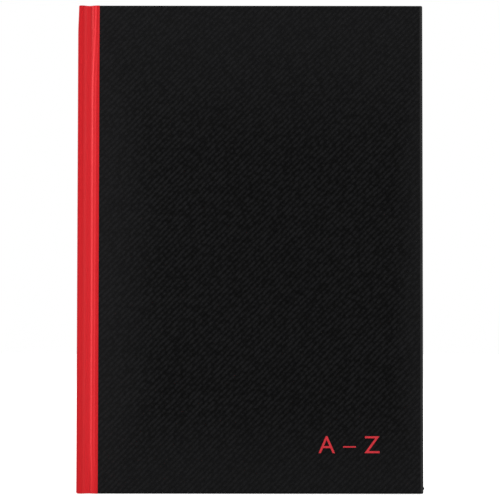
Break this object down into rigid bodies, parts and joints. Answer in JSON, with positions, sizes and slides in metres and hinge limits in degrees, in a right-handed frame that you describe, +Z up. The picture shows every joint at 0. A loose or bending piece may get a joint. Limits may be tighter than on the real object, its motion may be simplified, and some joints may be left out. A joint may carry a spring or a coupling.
{
  "type": "indexed notebook",
  "caption": "Hard-cover A4 notebook with black ribbed paper sides, a red cloth spine and an A to Z index step-cut in the fore-edge; covers and leaves turn.",
  "frame": {"origin": "middle of the notebook's footprint as it stands closed on its tail edge", "axes": "+Z up the page towards the head, +X from the spine towards the fore-edge, +Y from the front cover towards the back cover"},
  "size_m": [0.2144, 0.0176, 0.303],
  "materials": {
    "black_cover_paper": "diagonal ribbed, satin",
    "red_book_cloth": "fine plain weave, coated",
    "grey_board": "matt",
    "leaf_paper": "matt, ruled",
    "endpaper": "matt",
    "lining_paper": "matt",
    "mull_cloth": "open weave",
    "thread": "waxed",
    "band_cloth": "woven stripe"
  },
  "bodies": {
    "spine": {"spine_board": "grey_board", "spine_cloth": "red_book_cloth", "spine_lining_paper": "lining_paper", "mull": "mull_cloth", "sewing_thread": "thread", "head_band": "band_cloth", "tail_band": "band_cloth", "section_fold_1": "leaf_paper", "section_fold_2": "leaf_paper", "section_fold_3": "leaf_paper", "section_fold_4": "leaf_paper", "section_fold_5": "leaf_paper", "section_fold_6": "leaf_paper", "front_endpaper_fold": "endpaper", "back_endpaper_fold": "endpaper"},
    "front_cover": {"front_board": "grey_board", "front_cover_paper": "black_cover_paper", "front_hinge_cloth": "red_book_cloth", "front_mull_flange": "mull_cloth", "front_pastedown": "endpaper"},
    "back_cover": {"back_board": "grey_board", "back_cover_paper": "black_cover_paper", "back_hinge_cloth": "red_book_cloth", "back_mull_flange": "mull_cloth", "back_pastedown": "endpaper"},
    "front_flyleaf": {"front_flyleaf": "endpaper"},
    "back_flyleaf": {"back_flyleaf": "endpaper"},
    "leaves_a": {"leaves_a": "leaf_paper"},
    "leaves_b": {"leaves_b": "leaf_paper"},
    "leaves_c": {"leaves_c": "leaf_paper"},
    "leaves_d": {"leaves_d": "leaf_paper"},
    "leaves_e": {"leaves_e": "leaf_paper"},
    "leaves_f": {"leaves_f": "leaf_paper"},
    "leaves_g": {"leaves_g": "leaf_paper"},
    "leaves_h": {"leaves_h": "leaf_paper"},
    "leaves_i": {"leaves_i": "leaf_paper"},
    "leaves_j": {"leaves_j": "leaf_paper"},
    "leaves_k": {"leaves_k": "leaf_paper"},
    "leaves_l": {"leaves_l": "leaf_paper"},
    "leaves_m": {"leaves_m": "leaf_paper"},
    "leaves_n": {"leaves_n": "leaf_paper"},
    "leaves_o": {"leaves_o": "leaf_paper"},
    "leaves_p": {"leaves_p": "leaf_paper"},
    "leaves_q": {"leaves_q": "leaf_paper"},
    "leaves_r": {"leaves_r": "leaf_paper"},
    "leaves_s": {"leaves_s": "leaf_paper"},
    "leaves_t": {"leaves_t": "leaf_paper"},
    "leaves_u": {"leaves_u": "leaf_paper"},
    "leaves_v": {"leaves_v": "leaf_paper"},
    "leaves_w": {"leaves_w": "leaf_paper"},
    "leaves_xyz": {"leaves_xyz": "leaf_paper"}
  },
  "joints": [
    {"name": "front_cover_hinge", "type": "hinge", "parent": "spine", "child": "front_cover", "pos_m": [-0.10025, -0.00899, 0.1515], "axis": [0, 0, -1], "range_deg": [0, 179]},
    {"name": "back_cover_hinge", "type": "hinge", "parent": "spine", "child": "back_cover", "pos_m": [-0.10025, 0.00899, 0.1515], "axis": [0, 0, 1], "range_deg": [0, 179]},
    {"name": "front_flyleaf_turn", "type": "hinge", "parent": "spine", "child": "front_flyleaf", "pos_m": [-0.10025, -0.00899, 0.1515], "axis": [0, 0, -1], "range_deg": [0, 177.7]},
    {"name": "leaves_a_turn", "type": "hinge", "parent": "spine", "child": "leaves_a", "pos_m": [-0.10025, -0.00899, 0.1515], "axis": [0, 0, -1], "range_deg": [0, 176.6]},
    {"name": "leaves_b_turn", "type": "hinge", "parent": "spine", "child": "leaves_b", "pos_m": [-0.10025, -0.00899, 0.1515], "axis": [0, 0, -1], "range_deg": [0, 175.7]},
    {"name": "leaves_c_turn", "type": "hinge", "parent": "spine", "child": "leaves_c", "pos_m": [-0.10025, -0.00899, 0.1515], "axis": [0, 0, -1], "range_deg": [0, 174.8]},
    {"name": "leaves_d_turn", "type": "hinge", "parent": "spine", "child": "leaves_d", "pos_m": [-0.10025, -0.00899, 0.1515], "axis": [0, 0, -1], "range_deg": [0, 174]},
    {"name": "leaves_e_turn", "type": "hinge", "parent": "spine", "child": "leaves_e", "pos_m": [-0.10025, -0.00899, 0.1515], "axis": [0, 0, -1], "range_deg": [0, 173.1]},
    {"name": "leaves_f_turn", "type": "hinge", "parent": "spine", "child": "leaves_f", "pos_m": [-0.10025, -0.00899, 0.1515], "axis": [0, 0, -1], "range_deg": [0, 172.2]},
    {"name": "leaves_g_turn", "type": "hinge", "parent": "spine", "child": "leaves_g", "pos_m": [-0.10025, -0.00899, 0.1515], "axis": [0, 0, -1], "range_deg": [0, 171.3]},
    {"name": "leaves_h_turn", "type": "hinge", "parent": "spine", "child": "leaves_h", "pos_m": [-0.10025, -0.00899, 0.1515], "axis": [0, 0, -1], "range_deg": [0, 170.4]},
    {"name": "leaves_i_turn", "type": "hinge", "parent": "spine", "child": "leaves_i", "pos_m": [-0.10025, -0.00899, 0.1515], "axis": [0, 0, -1], "range_deg": [0, 169.5]},
    {"name": "leaves_j_turn", "type": "hinge", "parent": "spine", "child": "leaves_j", "pos_m": [-0.10025, -0.00899, 0.1515], "axis": [0, 0, -1], "range_deg": [0, 168.6]},
    {"name": "leaves_k_turn", "type": "hinge", "parent": "spine", "child": "leaves_k", "pos_m": [-0.10025, -0.00899, 0.1515], "axis": [0, 0, -1], "range_deg": [0, 167.7]},
    {"name": "leaves_l_turn", "type": "hinge", "parent": "spine", "child": "leaves_l", "pos_m": [-0.10025, -0.00899, 0.1515], "axis": [0, 0, -1], "range_deg": [0, 166.8]},
    {"name": "leaves_m_turn", "type": "hinge", "parent": "spine", "child": "leaves_m", "pos_m": [-0.10025, -0.00899, 0.1515], "axis": [0, 0, -1], "range_deg": [0, 12.3]},
    {"name": "leaves_n_turn", "type": "hinge", "parent": "spine", "child": "leaves_n", "pos_m": [-0.10025, -0.00899, 0.1515], "axis": [0, 0, -1], "range_deg": [0, 11.4]},
    {"name": "leaves_o_turn", "type": "hinge", "parent": "spine", "child": "leaves_o", "pos_m": [-0.10025, -0.00899, 0.1515], "axis": [0, 0, -1], "range_deg": [0, 10.5]},
    {"name": "leaves_p_turn", "type": "hinge", "parent": "spine", "child": "leaves_p", "pos_m": [-0.10025, -0.00899, 0.1515], "axis": [0, 0, -1], "range_deg": [0, 9.6]},
    {"name": "leaves_q_turn", "type": "hinge", "parent": "spine", "child": "leaves_q", "pos_m": [-0.10025, -0.00899, 0.1515], "axis": [0, 0, -1], "range_deg": [0, 8.7]},
    {"name": "leaves_r_turn", "type": "hinge", "parent": "spine", "child": "leaves_r", "pos_m": [-0.10025, -0.00899, 0.1515], "axis": [0, 0, -1], "range_deg": [0, 7.8]},
    {"name": "leaves_s_turn", "type": "hinge", "parent": "spine", "child": "leaves_s", "pos_m": [-0.10025, -0.00899, 0.1515], "axis": [0, 0, -1], "range_deg": [0, 6.9]},
    {"name": "leaves_t_turn", "type": "hinge", "parent": "spine", "child": "leaves_t", "pos_m": [-0.10025, -0.00899, 0.1515], "axis": [0, 0, -1], "range_deg": [0, 6]},
    {"name": "leaves_u_turn", "type": "hinge", "parent": "spine", "child": "leaves_u", "pos_m": [-0.10025, -0.00899, 0.1515], "axis": [0, 0, -1], "range_deg": [0, 5.2]},
    {"name": "leaves_v_turn", "type": "hinge", "parent": "spine", "child": "leaves_v", "pos_m": [-0.10025, -0.00899, 0.1515], "axis": [0, 0, -1], "range_deg": [0, 4.3]},
    {"name": "leaves_w_turn", "type": "hinge", "parent": "spine", "child": "leaves_w", "pos_m": [-0.10025, -0.00899, 0.1515], "axis": [0, 0, -1], "range_deg": [0, 3.4]},
    {"name": "leaves_xyz_turn", "type": "hinge", "parent": "spine", "child": "leaves_xyz", "pos_m": [-0.10025, -0.00899, 0.1515], "axis": [0, 0, -1], "range_deg": [0, 2.5]},
    {"name": "back_flyleaf_turn", "type": "hinge", "parent": "spine", "child": "back_flyleaf", "pos_m": [-0.10025, 0.00899, 0.1515], "axis": [0, 0, 1], "range_deg": [0, 174.1]}
  ],
  "couplings": [
    {"joint": "front_flyleaf_turn", "follows": "front_cover_hinge", "ratio": 0.99},
    {"joint": "leaves_a_turn", "follows": "front_cover_hinge", "ratio": 0.984},
    {"joint": "leaves_b_turn", "follows": "front_cover_hinge", "ratio": 0.979},
    {"joint": "leaves_c_turn", "follows": "front_cover_hinge", "ratio": 0.974},
    {"joint": "leaves_d_turn", "follows": "front_cover_hinge", "ratio": 0.969},
    {"joint": "leaves_e_turn", "follows": "front_cover_hinge", "ratio": 0.964},
    {"joint": "leaves_f_turn", "follows": "front_cover_hinge", "ratio": 0.959},
    {"joint": "leaves_g_turn", "follows": "front_cover_hinge", "ratio": 0.954},
    {"joint": "leaves_h_turn", "follows": "front_cover_hinge", "ratio": 0.949},
    {"joint": "leaves_i_turn", "follows": "front_cover_hinge", "ratio": 0.944},
    {"joint": "leaves_j_turn", "follows": "front_cover_hinge", "ratio": 0.939},
    {"joint": "leaves_k_turn", "follows": "front_cover_hinge", "ratio": 0.934},
    {"joint": "leaves_l_turn", "follows": "front_cover_hinge", "ratio": 0.929},
    {"joint": "leaves_m_turn", "follows": "front_cover_hinge", "ratio": 0.066},
    {"joint": "leaves_n_turn", "follows": "front_cover_hinge", "ratio": 0.061},
    {"joint": "leaves_o_turn", "follows": "front_cover_hinge", "ratio": 0.056},
    {"joint": "leaves_p_turn", "follows": "front_cover_hinge", "ratio": 0.051},
    {"joint": "leaves_q_turn", "follows": "front_cover_hinge", "ratio": 0.046},
    {"joint": "leaves_r_turn", "follows": "front_cover_hinge", "ratio": 0.041},
    {"joint": "leaves_s_turn", "follows": "front_cover_hinge", "ratio": 0.036},
    {"joint": "leaves_t_turn", "follows": "front_cover_hinge", "ratio": 0.031},
    {"joint": "leaves_u_turn", "follows": "front_cover_hinge", "ratio": 0.026},
    {"joint": "leaves_v_turn", "follows": "front_cover_hinge", "ratio": 0.021},
    {"joint": "leaves_w_turn", "follows": "front_cover_hinge", "ratio": 0.016},
    {"joint": "leaves_xyz_turn", "follows": "front_cover_hinge", "ratio": 0.011},
    {"joint": "back_flyleaf_turn", "follows": "back_cover_hinge", "ratio": 0.97}
  ]
}
